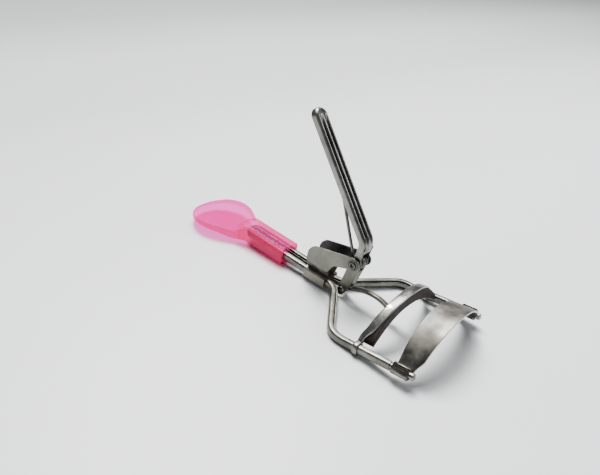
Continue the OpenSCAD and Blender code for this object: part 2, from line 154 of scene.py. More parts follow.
def object_place(m):
    return node(m, "ShaderNodeTexCoord").outputs["Object"]


def painted_light_attribute(m):
    """The value that piece() gives each point.

    On steel it is 1 for painted shade deep in a groove and -1 for a painted highlight on an edge.
    On plastic it is 1 for a painted deeper tint at a rim and -1 for a painted paler tint where the plastic
    is thin.
    """
    return node(m, "ShaderNodeAttribute", attribute_name=PAINTED_LIGHT, attribute_type="GEOMETRY").outputs["Fac"]


def bumped(m, skin, height, strength, distance):
    n = node(m, "ShaderNodeBump")
    n.inputs["Strength"].default_value = strength
    n.inputs["Distance"].default_value = distance
    link(m, height, n.inputs["Height"])
    link(m, n.outputs["Normal"], skin.inputs["Normal"])


# ---- Materials: noise scales are in features per metre ----

BROWN_STAIN = (0.135, 0.105, 0.08)
RUST_PIT = (0.06, 0.04, 0.028)
EDGE_HIGHLIGHT = (0.66, 0.65, 0.62)
GROOVE_SHADE = (0.012, 0.011, 0.010)


def steel(name, tone, rough=0.3, stain=0.5, patches=0.2):
    """Steel that has been handled for years: smears, brown stains and pits, with painted shade in its
    grooves and a painted highlight on its edges.
    """
    m = material(name)
    out = node(m, "ShaderNodeOutputMaterial")
    skin = node(m, "ShaderNodeBsdfPrincipled")
    skin.inputs["Metallic"].default_value = 1.0
    where = object_place(m)
    smear = noise(m, where, 300.0, 5.0, 0.6)
    cloud = noise(m, where, 130.0, 3.0)
    pits = noise(m, where, 1700.0, 2.0)
    grain = noise(m, where, 1400.0, 3.0, 0.7)
    patch = ramp(m, noise(m, where, 170.0, 2.0, 0.4), [(0.38, grey(1.0 - patches)), (0.62, grey(1.0))])
    clean = ramp(m, smear, [(0.3, times(tone, 0.66)), (0.7, times(tone, 1.25))])
    stained = ramp(m, cloud, [(0.50, grey(0.0)), (0.70, grey(stain))])
    tinted = mix_colour(m, stained, clean, BROWN_STAIN)
    tinted = mix_colour(m, 1.0, tinted, patch, "MULTIPLY")
    spots = ramp(m, pits, [(0.62, grey(0.0)), (0.72, grey(stain))])
    pitted = mix_colour(m, spots, tinted, RUST_PIT)
    # painted light: a painted highlight on edges where the attribute is below 0, painted shade in grooves
    # where it is above 0
    painted_light = painted_light_attribute(m)
    edge = ramp(m, negative(m, painted_light), [(0.25, grey(0.0)), (0.9, grey(0.85))])
    highlit = mix_colour(m, edge, pitted, EDGE_HIGHLIGHT)
    deep = ramp(m, painted_light, [(0.08, grey(0.0)), (0.75, grey(0.93))])
    link(m, mix_colour(m, deep, highlit, GROOVE_SHADE), skin.inputs["Base Color"])
    worn = ramp(m, smear, [(0.25, grey(rough * 0.7)), (0.8, grey(rough * 1.6))])
    link(m, worn, skin.inputs["Roughness"])
    bumped(m, skin, mix_colour(m, 0.5, grain, smear), 0.3, 0.00008)
    link(m, skin.outputs["BSDF"], out.inputs["Surface"])
    return m


def translucent(name):
    """Clear pink plastic, with painted light: a deeper pink at its rims and a paler one over its pocket;
    with a faint ripple and scuffs.
    """
    m = material(name)
    out = node(m, "ShaderNodeOutputMaterial")
    skin = node(m, "ShaderNodeBsdfPrincipled")
    skin.inputs["IOR"].default_value = 1.49
    skin.inputs["Specular IOR Level"].default_value = 0.2
    clear = node(m, "ShaderNodeBsdfTransparent")
    both = node(m, "ShaderNodeMixShader")
    where = object_place(m)
    cloud = noise(m, where, 120.0, 3.0)
    scuff = noise(m, where, 900.0, 4.0, 0.6)
    painted_light = painted_light_attribute(m)
    # painted light: the attribute deepens and reddens the pink at the rims and pales it over the thin
    # pocket
    rim = ramp(m, painted_light, [(0.1, grey(0.0)), (0.9, grey(1.0))])
    thin = ramp(m, negative(m, painted_light), [(0.1, grey(0.0)), (0.9, grey(1.0))])
    flesh = ramp(m, cloud, [(0.3, (0.80, 0.05, 0.36)), (0.7, (0.84, 0.08, 0.42))])
    link(m, mix_colour(m, rim, flesh, (0.98, 0.06, 0.25)), skin.inputs["Base Color"])
    link(m, ramp(m, scuff, [(0.3, grey(0.10)), (0.8, grey(0.26))]), skin.inputs["Roughness"])
    dye_and_rim_light = mix_colour(m, rim, (0.95, 0.38, 0.74), (0.96, 0.22, 0.46))
    link(m, mix_colour(m, thin, dye_and_rim_light, (0.97, 0.66, 0.74)), clear.inputs["Color"])
    link(m, ramp(m, rim, [(0.0, grey(0.16)), (1.0, grey(0.42))]), both.inputs["Fac"])
    bumped(m, skin, cloud, 0.2, 0.0001)
    link(m, clear.outputs["BSDF"], both.inputs[1])
    link(m, skin.outputs["BSDF"], both.inputs[2])
    link(m, both.outputs["Shader"], out.inputs["Surface"])
    return m


def soft_pad(name):
    """Dark rubber, dusty where it has been pressed."""
    m = material(name)
    out = node(m, "ShaderNodeOutputMaterial")
    skin = node(m, "ShaderNodeBsdfPrincipled")
    skin.inputs["Specular IOR Level"].default_value = 0.25
    dust = noise(m, object_place(m), 420.0, 5.0, 0.65)
    dusty = ramp(m, dust, [(0.35, (0.010, 0.007, 0.006)), (0.75, (0.040, 0.027, 0.021))])
    link(m, dusty, skin.inputs["Base Color"])
    link(m, ramp(m, dust, [(0.3, grey(0.5)), (0.8, grey(0.8))]), skin.inputs["Roughness"])
    bumped(m, skin, dust, 0.3, 0.0001)
    link(m, skin.outputs["BSDF"], out.inputs["Surface"])
    return m


STEEL = steel("worn_steel", tone=(0.20, 0.20, 0.18), rough=0.33, patches=0.4)
BRIGHT = steel("bright_steel", tone=(0.44, 0.435, 0.41), rough=0.27, stain=0.3)
WELD_GLINT = steel("weld_steel", tone=(0.86, 0.85, 0.82), rough=0.3, stain=0.15, patches=0.0)
FLAT = steel("flat_sheet", tone=(0.20, 0.20, 0.172), rough=0.44, stain=0.4)
DARK = steel("shaded_sheet", tone=(0.075, 0.075, 0.074), rough=0.42, stain=0.3)
SATIN = steel("satin_sheet", tone=(0.165, 0.158, 0.14), rough=0.42, stain=0.3, patches=0.5)
WORN = steel("worn_sheet", tone=(0.235, 0.23, 0.21), rough=0.32, stain=0.8, patches=0.45)
MIRROR = steel("polished_channel", tone=(0.245, 0.245, 0.23), rough=0.26, stain=0.25)
WIRE = steel("drawn_wire", tone=(0.17, 0.17, 0.16), rough=0.32, stain=0.4)
PINK = translucent("pink_plastic")
PAD = soft_pad("pad_rubber")

LOOK = {"handle_grip": PINK, "jaw_pad": PAD}
for name, thing in frame["nodes"].items():
    thing.data.materials.clear()
    thing.data.materials.append(LOOK.get(name, STEEL))


# ---- Mesh helpers: points are in the rail frame, in millimetres ----

RAILWARD = Vector((1.0, 0.0, 0.0))
CLIMB = math.radians(9.4)
SILL = -21.5
UP_RAIL = Vector((0.0, 0.0, 1.0))
UP_SHANK = Vector((math.sin(CLIMB), 0.0, math.cos(CLIMB)))
ACROSS = Vector((0.0, 1.0, 0.0))


def shank(x, y, z):
    """A point of the shank's frame, which climbs to the rear from the sill of the bend."""
    run = x - SILL
    return Vector(
        (SILL + run * math.cos(CLIMB) + z * math.sin(CLIMB), y, z * math.cos(CLIMB) - run * math.sin(CLIMB))
    )


def smooth(a, b, x):
    t = min(1.0, max(0.0, (x - a) / (b - a)))
    return t * t * (3.0 - 2.0 * t)


def spaced(a, b, count):
    return [a + (b - a) * i / (count - 1) for i in range(count)]


def piece(name, shape, look, body, nodes=(), sharp=38.0, bevel=0.0, painted_light=()):
    """A piece of the object from points in the rail frame. Its first points take their painted light from a
    list.
    """
    verts, faces = shape
    mesh = bpy.data.meshes.new(name)
    mesh.from_pydata([at(v) for v in verts], [], faces)
    work = bmesh.new()
    work.from_mesh(mesh)
    layer = work.verts.layers.float.new(PAINTED_LIGHT)
    for vert, value in zip(work.verts, painted_light):
        vert[layer] = value
    bmesh.ops.remove_doubles(work, verts=work.verts, dist=SAME_POINT)
    bmesh.ops.recalc_face_normals(work, faces=work.faces)
    if bevel:
        edges = [e for e in work.edges if e.is_manifold and e.calc_face_angle(0.0) > math.radians(sharp)]
        bmesh.ops.bevel(work, geom=edges, offset=bevel * MM, segments=2, affect="EDGES", clamp_overlap=True)
    for face in work.faces:
        face.smooth = True
    for edge in work.edges:
        edge.smooth = not edge.is_manifold or edge.calc_face_angle(0.0) < math.radians(sharp)
    work.to_mesh(mesh)
    work.free()
    mesh.materials.append(look)
    thing = bpy.data.objects.new(name, mesh)
    bpy.context.scene.collection.objects.link(thing)
    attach(thing, body)
    if nodes:
        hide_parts(*nodes)
    return thing


def loft(loops, closed=False):
    """Joins closed loops of equal length, with a cap at either end unless the row of loops is closed."""
    rim = len(loops[0])
    verts = [Vector(p) for loop in loops for p in loop]
    faces = []
    for i in range(len(loops) if closed else len(loops) - 1):
        k = (i + 1) % len(loops)
        for j in range(rim):
            m = (j + 1) % rim
            faces.append((i * rim + j, i * rim + m, k * rim + m, k * rim + j))
    if not closed:
        faces.append(tuple(range(rim)))
        faces.append(tuple(range((len(loops) - 1) * rim, len(loops) * rim)))
    return verts, faces


def heading(path, i):
    """The direction of travel at a point of a path."""
    return (path[min(i + 1, len(path) - 1)] - path[max(i - 1, 0)]).normalized()


def tube(path, section, up=lambda p: UP_RAIL):
    """Sweeps a section along a path: its first number is to the right of travel, its second is up."""
    loops = []
    for i, p in enumerate(path):
        ahead = heading(path, i)
        right = ahead.cross(up(p)).normalized()
        high = right.cross(ahead)
        loops.append([p + right * u + high * v for u, v in section])
    return loft(loops)


def turned(profile, centre, axis, count):
    """Turns a closed profile of (radius, place along the axis) about an axis."""
    start = axis.orthogonal().normalized()
    other = axis.cross(start)
    loops = []
    for a in around(count):
        out = start * math.cos(a) + other * math.sin(a)
        loops.append([centre + out * r + axis * s for r, s in profile])
    return loft(loops, True)


def plate(outline, low, high):
    """A flat plate: an outline of (x, z) between two places along y."""
    return loft([[Vector((x, low, z)) for x, z in outline], [Vector((x, high, z)) for x, z in outline]])


def together(*shapes):
    verts, faces = [], []
    for more_verts, more_faces in shapes:
        start = len(verts)
        verts += more_verts
        faces += [tuple(i + start for i in face) for face in more_faces]
    return verts, faces


def arc(cx, cz, r, start, end, count):
    turns = spaced(math.radians(start), math.radians(end), count)
    return [(cx + r * math.cos(a), cz + r * math.sin(a)) for a in turns]


def swing(start, end, t):
    """A radius turned from start towards end."""
    whole = start.angle(end)
    return (start * math.sin((1.0 - t) * whole) + end * math.sin(t * whole)) / math.sin(whole)


def round_corners(corners, radii, steps=7):
    """A path through corners, with an arc of its own radius at each inner corner."""
    path = [corners[0]]
    for before, p, after, r in zip(corners, corners[1:], corners[2:], radii):
        u = (before - p).normalized()
        w = (after - p).normalized()
        half = u.angle(w) / 2.0
        centre = p + (u + w).normalized() * (r / math.sin(half))
        start = p + u * (r / math.tan(half)) - centre
        end = p + w * (r / math.tan(half)) - centre
        path += [centre + swing(start, end, k / steps) for k in range(steps + 1)]
    return path + [corners[-1]]


def through(points, steps=6):
    """A smooth path through points."""
    path = []
    ends = [2 * points[0] - points[1]] + points + [2 * points[-1] - points[-2]]
    for a, b, c, d in zip(ends, ends[1:], ends[2:], ends[3:]):
        for k in range(steps):
            t = k / steps
            square = 2 * a - 5 * b + 4 * c - d
            cube = 3 * b - a - 3 * c + d
            path.append(0.5 * (2 * b + (c - a) * t + square * t * t + cube * t**3))
    return path + [points[-1]]


def mirrored(shape):
    verts, faces = shape
    return [Vector((v[0], -v[1], v[2])) for v in verts], faces


def around(count):
    return [math.tau * k / count for k in range(count)]


def circle(r, count):
    return [(r * math.cos(a), r * math.sin(a)) for a in around(count)]


def squared(c, s, half_w, half_h, power=3):
    """The radius of a squared-off oval in the direction (c, s)."""
    return (abs(c / half_w) ** power + abs(s / half_h) ** power) ** (-1.0 / power)


def angle_from(a, b):
    """The turn from b to a, between minus a half turn and a half turn."""
    return (a - b + math.pi) % math.tau - math.pi


def bell(off, spread):
    return math.exp(-((off / spread) ** 2))


def seam_shade(slit, spread, count):
    """How much painted shade each point of a rolled section gets: most in its slit."""
    return [bell(angle_from(a, slit), spread) for a in around(count)]


# ---- Frame bar: one strip rolled into a bar, its slit on the inner upper side ----

RAIL_Y = 17.5
RAIL_END = -6.2
ARM_FRONT = -25.416
ARM_REAR = -37.169
SHANK_Y = 1.5
HAIRPIN_X = -71.5
BEND_RADII = [8.0, 5.5, 5.0]
BAR_HALF_W = 1.15
BAR_HALF_H = 1.25
BAR_POINTS = 76
SEAM = math.radians(50)
SOCKET_X = -56.6
# painted shade on the bar where it runs inside the plastic
SOCKET_SHADE = 0.4


def rolled(half_w, half_h, slit, depth, spread, count):
    """A rolled bar's section, drawn in where its two edges meet."""
    out = []
    for a in around(count):
        c, s = math.cos(a), math.sin(a)
        r = squared(c, s, half_w, half_h) - depth * bell(angle_from(a, slit), spread)
        out.append((r * c, r * s))
    return out


def bar_up(p):
    t = smooth(SILL + 0.7, SILL - 0.7, p.x)
    return (UP_RAIL.lerp(UP_SHANK, t)).normalized()


def frame_path():
    near = round_corners(
        [
            Vector((RAIL_END, -RAIL_Y, 0.0)),
            Vector((SILL, -RAIL_Y, 0.0)),
            shank(ARM_FRONT, -RAIL_Y, 0.0),
            shank(ARM_REAR, -SHANK_Y, 0.0),
            shank(HAIRPIN_X, -SHANK_Y, 0.0),
        ],
        BEND_RADII,
    )
    near.insert(-1, shank(SOCKET_X, -SHANK_Y, 0.0))
    hairpin = [
        shank(HAIRPIN_X - SHANK_Y * math.sin(a), -SHANK_Y * math.cos(a), 0.0)
        for a in spaced(0.2, math.pi - 0.2, 11)
    ]
    far = [Vector((p.x, -p.y, p.z)) for p in reversed(near)]
    return near + hairpin + far


def bar_shading(path):
    """Painted shade in the slit, and painted shade all round on the part held in the plastic."""
    slit = seam_shade(SEAM, 0.15, BAR_POINTS)
    mouth = shank(SOCKET_X - 0.5, 0.0, 0.0).x
    return [max(v, SOCKET_SHADE if p.x < mouth else 0.0) for p in path for v in slit]


bar_path = frame_path()
bar = tube(bar_path, rolled(BAR_HALF_W, BAR_HALF_H, SEAM, 0.85, 0.17, BAR_POINTS), bar_up)
piece("frame_strip", bar, STEEL, "base", ["frame_bar"], painted_light=bar_shading(bar_path))

# ---- Handle: a socket for the shank's hairpin, and a broad round blade turned up at its tip ----

NECK_X = -72.8
SOCKET_HALF = 3.8
SOCKET_TOP = 2.9
SOCKET_LOW = -3.1
SOCKET_EDGE = 1.3
BLADE_X = -87.2
BLADE_R = 9.9
BLADE_JOIN = math.radians(70)
BLADE_EDGE = 0.5
TIP_EDGE = 0.55
STEP_X = -76.9
POCKET_HALF_W = 2.72
POCKET_HALF_H = 1.45
POCKET_EDGE = 0.45
GRIP_ACROSS = 15


def eased(t, start, start_slope, end, end_slope):
    """A cubic from start to end, as t goes from 0 to 1, with the slope given at each end."""
    return (
        start * (2 * t**3 - 3 * t * t + 1)
        + start_slope * (t**3 - 2 * t * t + t)
        + end * (3 * t * t - 2 * t**3)
        + end_slope * (t**3 - t * t)
    )


def grip_section(x, half, edge, top, under):
    """A section with rounded edges: along its top to the far side, then back underneath."""
    ys = spaced(-(half - edge), half - edge, GRIP_ACROSS)
    loop = [(y, top(x, y)) for y in ys]
    high, low = top(x, half), under(x, half)
    turns = spaced(0.0, math.pi / 2, 5)
    inner = half - edge
    loop += [(inner + edge * math.sin(a), high - edge + edge * math.cos(a)) for a in turns[1:]]
    loop += [(inner + edge * math.cos(a), low + edge - edge * math.sin(a)) for a in turns]
    loop += [(y, under(x, y)) for y in reversed(ys)]
    loop += [(-inner - edge * math.sin(a), low + edge - edge * math.cos(a)) for a in turns[1:]]
    loop += [(-inner - edge * math.cos(a), high - edge + edge * math.sin(a)) for a in turns[:-1]]
    return [shank(x, y, z) for y, z in loop]


def grip_half(x):
    """Half the grip's width: straight at the socket, flaring from the neck, then the blade's circle."""
    round_x = BLADE_X + BLADE_R * math.cos(BLADE_JOIN)
    if x > NECK_X:
        return SOCKET_HALF
    if x > round_x:
        run = NECK_X - round_x
        end_slope = run / math.tan(BLADE_JOIN)
        return eased((NECK_X - x) / run, SOCKET_HALF, 0.48 * run, BLADE_R * math.sin(BLADE_JOIN), end_slope)
    return math.sqrt(max(BLADE_R**2 - (x - BLADE_X) ** 2, 0.0))


def tip_drop(x):
    """How far the blade's faces draw together near its tip."""
    inside = min(TIP_EDGE, max(0.0, x - (BLADE_X - BLADE_R)))
    return TIP_EDGE - math.sqrt(max(0.0, TIP_EDGE**2 - (TIP_EDGE - inside) ** 2))


def grip_top(x, y):
    socket = SOCKET_TOP - 0.10 * (y / SOCKET_HALF) ** 2
    blade = 0.05 - 0.0049 * (x + 77.0) ** 2
    half = max(grip_half(x), 0.6)
    hollow = smooth(-77.5, -82.5, x) * smooth(-97.0, -92.0, x) * (0.25 - 0.65 * (y / half) ** 2)
    step = STEP_X + 0.05 * y * y
    share = 0.45 * smooth(step - 0.5, step + 0.6, x) + 0.55 * smooth(step - 1.8, step + 3.4, x)
    share *= 1.0 - 0.5 * smooth(3.0, 4.9, abs(y)) * smooth(-72.6, -76.5, x)
    return share * socket + (1.0 - share) * (blade - hollow) - tip_drop(x) * (1.0 - share)


def grip_under(x, y):
    blade = -1.95 - 0.0118 * (x + 86.0) ** 2
    share = smooth(-80.0, -73.0, x)
    return share * SOCKET_LOW + (1.0 - share) * blade + tip_drop(x) * (1.0 - share)


def flat_section(x, half, edge, top, under):
    return grip_section(x, half, edge, lambda x, y: top, lambda x, y: under)


def rim_of(count):
    """The painted light of a rounded edge's points."""
    return [0.5] + [1.0] * (count - 2) + [0.5]


def grip_shape():
    """The grip, with its painted light: a deeper pink painted along the rims, less so on the blade, and a
    paler tint painted over the pocket.
    """
    rim = [0.0] * GRIP_ACROSS + rim_of(9) + [0.0] * GRIP_ACROSS + rim_of(8)
    thin = [0.0] * 2 + [-1.0] * (GRIP_ACROSS - 4) + [0.0] * 2 + rim[GRIP_ACROSS:]
    loops, painted_light = [], []
    for a in spaced(1.52, 0.7, 14):
        x, half = BLADE_X - BLADE_R * math.sin(a), BLADE_R * math.cos(a)
        loops.append(grip_section(x, half, min(BLADE_EDGE, half * 0.9), grip_top, grip_under))
        painted_light += [0.5 * v for v in rim]
    for x in spaced(-93.2, -79.0, 16) + spaced(-78.6, -71.0, 25) + spaced(-70.0, SOCKET_X - 0.35, 12):
        edge = BLADE_EDGE + 0.9 * smooth(-79.0, -73.0, x)
        loops.append(grip_section(x, grip_half(x), edge, grip_top, grip_under))
        painted_light += thin if x > NECK_X else [(1.0 if x > -75.0 else 0.5) * v for v in rim]
    for x, inset in [(SOCKET_X - 0.1, 0.1), (SOCKET_X, 0.35)]:
        loops.append(
            flat_section(x, SOCKET_HALF - inset, SOCKET_EDGE, SOCKET_TOP - inset, SOCKET_LOW + inset)
        )
        painted_light += thin
    for x, w, h in [
        (SOCKET_X, POCKET_HALF_W + 0.25, POCKET_HALF_H + 0.25),
        (SOCKET_X - 0.3, POCKET_HALF_W, POCKET_HALF_H),
        (-64.0, POCKET_HALF_W, POCKET_HALF_H),
        (-71.2, POCKET_HALF_W, POCKET_HALF_H),
        (-72.9, POCKET_HALF_W * 0.8, POCKET_HALF_H),
        (-73.7, POCKET_HALF_W * 0.45, POCKET_HALF_H * 0.9),
    ]:
        loops.append(flat_section(x, w, POCKET_EDGE, h, -h))
        painted_light += thin
    return loft(loops), painted_light


grip, grip_painted_light = grip_shape()
piece("thumb_grip", grip, PINK, "base", ["handle_grip"], sharp=50.0, painted_light=grip_painted_light)

# ---- Saddle: a wrap round both bars and two ears ----

SHEET = 0.5
WRAP_REAR = -47.8
WRAP_FRONT = -39.9
WRAP_HALF = 2.70
WRAP_TOP = 1.30
WRAP_LOW = -1.45
EAR_IN = 2.5
EAR_OUT = EAR_IN + SHEET
EAR_LOW = 4.4
EAR_ROOT = 4.7
EAR_R = 2.1


def saddle_wrap():
    """The sheet round the bars, up to the slanting roots of the ears."""
    root, corner, inner_corner = 1.0, 0.7, 0.2
    side, top = WRAP_HALF + SHEET, WRAP_TOP + SHEET
    loop = [(side, WRAP_LOW), (side, 0.6)] + arc(side - corner, top - corner, corner, 0, 90, 6)
    loop += [(root + SHEET + 0.5, top), (root + SHEET + 0.25, top + 0.2), (EAR_OUT, EAR_ROOT)]
    loop += [(EAR_IN, EAR_ROOT), (root, top + 0.2), (root, WRAP_TOP)]
    loop += arc(WRAP_HALF - inner_corner, WRAP_TOP - inner_corner, inner_corner, 90, 0, 4)
    loop += [(WRAP_HALF, WRAP_LOW)]
    rear = [WRAP_REAR, WRAP_REAR + 0.15]
    stations = rear + spaced(-47.0, -40.6, 7) + [WRAP_FRONT - 0.15, WRAP_FRONT]
    return loft([[shank(x, y, z) for y, z in loop] for x in stations])


def ear_outline():
    """The ear's outline in the shank's frame: up from the wrap, round the rivet and round the rear top."""
    run = PIVOT.x - SILL
    rivet_x = SILL + run * math.cos(CLIMB) - PIVOT.z * math.sin(CLIMB)
    rivet_z = run * math.sin(CLIMB) + PIVOT.z * math.cos(CLIMB)
    outline = [(WRAP_REAR, EAR_LOW), (-40.1, EAR_LOW), (-39.5, 4.9), (-38.9, 6.2)]
    outline += [(-38.3, 7.3), (-37.6, 7.95), (-36.6, 8.2)]
    return outline + arc(rivet_x, rivet_z, EAR_R, -112, 98, 15) + arc(-43.8, 6.7, 4.0, 112, 180, 11)


def in_shank(shape):
    verts, faces = shape
    return [shank(*v) for v in verts], faces


ear = in_shank(plate(ear_outline(), -EAR_OUT, -EAR_IN))
wrap = saddle_wrap()
near_half = together(mirrored(wrap), ear)
far_half = together(wrap, mirrored(ear))
piece("saddle_sheet", near_half, FLAT, "base", ["saddle_bracket"], sharp=45.0, bevel=0.06)
piece("saddle_sheet_far", far_half, DARK, "base", sharp=45.0, bevel=0.06)

# ---- Rivet: a tube with a rolled rim at each end ----


def rivet_shape():
    """Each point of the rim has its radius, its place beyond the ear and its painted shade: darkest in the
    hole, in the crease of the curl and against the ear.
    """
    rim = [
        (0.50, -0.50, 1.0),
        (0.52, 0.30, 0.35),
        (0.62, 0.44, 0.0),
        (0.85, 0.47, 0.0),
        (1.08, 0.36, 0.1),
        (1.14, 0.18, 0.8),
        (1.35, 0.16, 0.5),
        (1.62, 0.18, 0.0),
        (1.74, 0.10, 0.0),
        (1.76, -0.02, 0.3),
        (0.90, -0.04, 0.5),
    ]
    turns = 48
    one_end = [(r, EAR_OUT + beyond) for r, beyond, shade in rim]
    other_end = [(r, -place) for r, place in reversed(one_end)]
    painted_light = [shade for r, beyond, shade in rim]
    return turned(one_end + other_end, PIVOT, ACROSS, turns), (painted_light + painted_light[::-1]) * turns


eyelet, eyelet_shade = rivet_shape()
piece("eyelet", eyelet, STEEL, "base", ["pivot_rivet"], sharp=60.0, painted_light=eyelet_shade)

# ---- Fixed jaw and its pins ----

FIXED_R = 19.6
FIXED_Z = -10.3
FIXED_REAR = -5.2
FIXED_FRONT = 2.4
FIXED_SHEET = 0.6
FIXED_HALF = 16.75
KNUCKLE_R = 1.6
KNUCKLE_POINTS = 64

# Where the arch is knocked out of true: the middle across and along the rails, the spread and the rise
BUMPS = [
    (-5.5, 0.9, 1.6, -0.16),
    (-9.5, -2.4, 2.2, -0.12),
    (3.0, -1.5, 3.5, -0.14),
    (-2.5, -2.6, 2.6, 0.10),
    (-7.2, -1.2, 1.5, 0.08),
]


def knocked(y, x):
    return sum(rise * bell(y - cy, spread) * bell(x - cx, 0.8 * spread) for cy, cx, spread, rise in BUMPS)


def fixed_front(y):
    """The arch's front edge, which draws back towards the feet."""
    return FIXED_FRONT - 2.0 * (y / RAIL_Y) ** 2 - 1.1 * smooth(14.2, 16.6, abs(y))


def fixed_arch():
    edge, along = 0.12, 13
    outer, inner = FIXED_R, FIXED_R - FIXED_SHEET
    loops = []
    limit = math.asin(FIXED_HALF / FIXED_R)
    for a in spaced(-limit, limit, 61):
        y = FIXED_R * math.sin(a)
        front, rear = fixed_front(y), FIXED_REAR
        loop = [(x, outer + knocked(y, x)) for x in spaced(rear + edge, front - edge, along)]
        loop += [(front, outer - edge), (front, inner + edge)]
        loop += [(x, inner) for x in spaced(front - edge, rear + edge, along)]
        loop += [(rear, inner + edge), (rear, outer - edge)]
        loops.append([Vector((x, r * math.sin(a), FIXED_Z + r * math.cos(a))) for x, r in loop])
    # painted highlight on the front edge; painted shade along the rear edge
    light_and_shade = [0.0] * along + [-1.0, -0.8] + [0.0] * along + [0.6, 0.6]
    return loft(loops), light_and_shade * len(loops)


def knuckle(side):
    """The foot of the plate, rolled round its pin; the roll's edge leaves a line on top, and its slit gets
    painted shade.
    """
    slit = math.radians(96 if side < 0 else 70)
    rim = []
    for a in around(KNUCKLE_POINTS):
        r = KNUCKLE_R - 0.45 * bell(angle_from(a, slit), 0.11) + 0.07 * math.cos(3 * (a - 1.2))
        rim.append((r * math.cos(a), r * math.sin(a)))
    centre = Vector((0.0, side * RAIL_Y, 0.0))
    rear, front = -5.6, -0.92
    loops = []
    for x, k in [
        (rear, 0.62),
        (rear, 0.94),
        (rear + 0.1, 1.0),
        (-3.3, 1.0),
        (front - 0.1, 1.0),
        (front, 0.94),
        (front, 0.62),
    ]:
        loops.append([centre + Vector((x, u * k, v * k)) for u, v in rim])
    return loft(loops, True), seam_shade(slit, 0.16, KNUCKLE_POINTS) * len(loops)


def fold(side):
    """The edge of the rolled sheet, standing a little proud on top of the knuckle, painted dark all over as
    shade.
    """
    outline = [(-5.4, 1.42), (-1.2, 1.42), (-1.1, 1.74), (-3.0, 1.66), (-5.3, 1.72)]
    middle, half = side * (RAIL_Y + 0.62), 0.16
    return plate(outline, middle - half, middle + half), [0.9] * (2 * len(outline))


def jaw_pin(side):
    """A headed pin, necked in front of the knuckle, with a dimple in its end."""
    profile = [(0.02, -7.0), (0.9, -7.0), (0.92, -0.62), (0.66, -0.6), (0.66, -0.42), (0.94, -0.38)]
    profile += [(0.97, 0.2), (0.86, 0.40), (0.66, 0.46), (0.6, 0.36), (0.02, 0.36)]
    return turned(profile, Vector((0.0, side * RAIL_Y, 0.0)), RAILWARD, 32)


front_arch, front_edge_light_and_shade = fixed_arch()
piece("front_jaw", front_arch, SATIN, "base", ["fixed_jaw"], sharp=30.0, painted_light=front_edge_light_and_shade)
for side, label in ((-1, "right"), (1, "left")):
    folded, fold_shade = fold(side)
    piece("front_jaw_fold_" + label, folded, STEEL, "base", bevel=0.05, painted_light=fold_shade)
    roll, roll_shade = knuckle(side)
    piece("front_jaw_knuckle_" + label, roll, STEEL, "base", sharp=50.0, painted_light=roll_shade)
    piece("front_jaw_pin_" + label, jaw_pin(side), BRIGHT, "base", ["jaw_pin_" + label], sharp=50.0)

# ---- Moving jaw: a channel open to the front, with a ring at each foot ----

EYE_X = -16.6
CHANNEL = 0.45
LIP_X = -12.0
LIP_BOW = 3.2
BACK_X = -14.9
BACK_BOW = 2.35
BOW_HALF = 17.0
JAW_HALF = 16.95
RING_POINTS = 40


def arch_z(y, crown, radius):
    return crown - radius + math.sqrt(radius * radius - y * y)


def jaw_top(y):
    return arch_z(y, 10.4, 20.07)


def jaw_low(y):
    return arch_z(y, 5.5, 24.53)


def bowed(x, bow, y):
    """How far forward a bowed edge is: x at the middle, and x less the bow at its ends."""
    radius = (BOW_HALF**2 + bow**2) / (2.0 * bow)
    return x - radius + math.sqrt(radius * radius - y * y)


def jaw_shape():
    """The band: in the middle a channel with a chin along its lower edge, at the feet a plain strip."""
    corner, sheet = 0.32, CHANNEL
    loops = []
    for y in spaced(-JAW_HALF, JAW_HALF, 71):
        foot = smooth(13.6, 16.6, abs(y))
        span = 1.0 - foot
        lip = span * bowed(LIP_X, LIP_BOW, y) + foot * (EYE_X + 0.75)
        back = span * bowed(BACK_X, BACK_BOW, y) + foot * (EYE_X - 0.75)
        chin = span * (back + 1.5) + foot * (EYE_X + 0.70)
        top = jaw_top(y) + 0.12 * foot
        low = span * jaw_low(y) + foot * (top - 1.4)
        if 7.2 < -y < 9.2:
            back += 0.16 * math.sin((-y - 7.2) / 2.0 * math.pi)
        inner = back + sheet + foot * 0.5 * (lip - back)
        loop = [(chin, low), (back + corner, low)]
        loop += arc(back + corner, low + corner, corner, 265, 185, 4)
        loop += arc(back + corner, top - corner, corner, 175, 95, 4)
        loop += [(0.6 * back + 0.4 * lip, top + 0.02), (0.3 * back + 0.7 * lip, top + 0.02)]
        loop += [(lip - 0.12, top), (lip, top - 0.12), (lip, top - sheet + 0.08), (lip - 0.1, top - sheet)]
        loop += [(inner + 0.2, top - sheet), (inner, top - sheet - 0.2)]
        loop += [(inner, low + sheet + 0.2), (inner + 0.2, low + sheet), (chin, low + sheet)]
        loops.append([Vector((x, y, z)) for x, z in loop])
    # painted highlight on the lip's front edge; painted shade inside the channel under the lip
    light_and_shade = [0.0] * 12 + [-0.7, -0.9, 0.3] + [0.5] * 6
    return loft(loops), light_and_shade * len(loops)


def ring(side):
    """The eye that runs on a rail: its hole and its rim are both squared ovals."""
    centre = Vector((EYE_X, side * RAIL_Y, 0.0))
    loops = []
    for a in around(RING_POINTS):
        c, s = math.cos(a), math.sin(a)
        hole = squared(c, s, 1.18, 1.28, 4)
        rim = squared(c, s, 1.64, 1.75)
        half = [(hole, 0.62), (hole + 0.1, 0.75), (rim - 0.2, 0.8), (rim - 0.04, 0.62), (rim, 0.3)]
        profile = [(r, -x) for r, x in half] + half[::-1]
        loops.append([centre + Vector((x, r * c, r * s)) for r, x in profile])
    return loft(loops, True)


def lug():
    """The ear under the band that takes the end of the push rod."""
    half = 1.1
    outline = [(-14.7, 7.0), (-14.6, 5.5), (-17.4, 1.25), (-18.0, 1.3)]
    outline += [(-18.3, 1.7), (-18.2, 2.3), (-15.3, 7.0)]
    return plate(outline, -half, half)


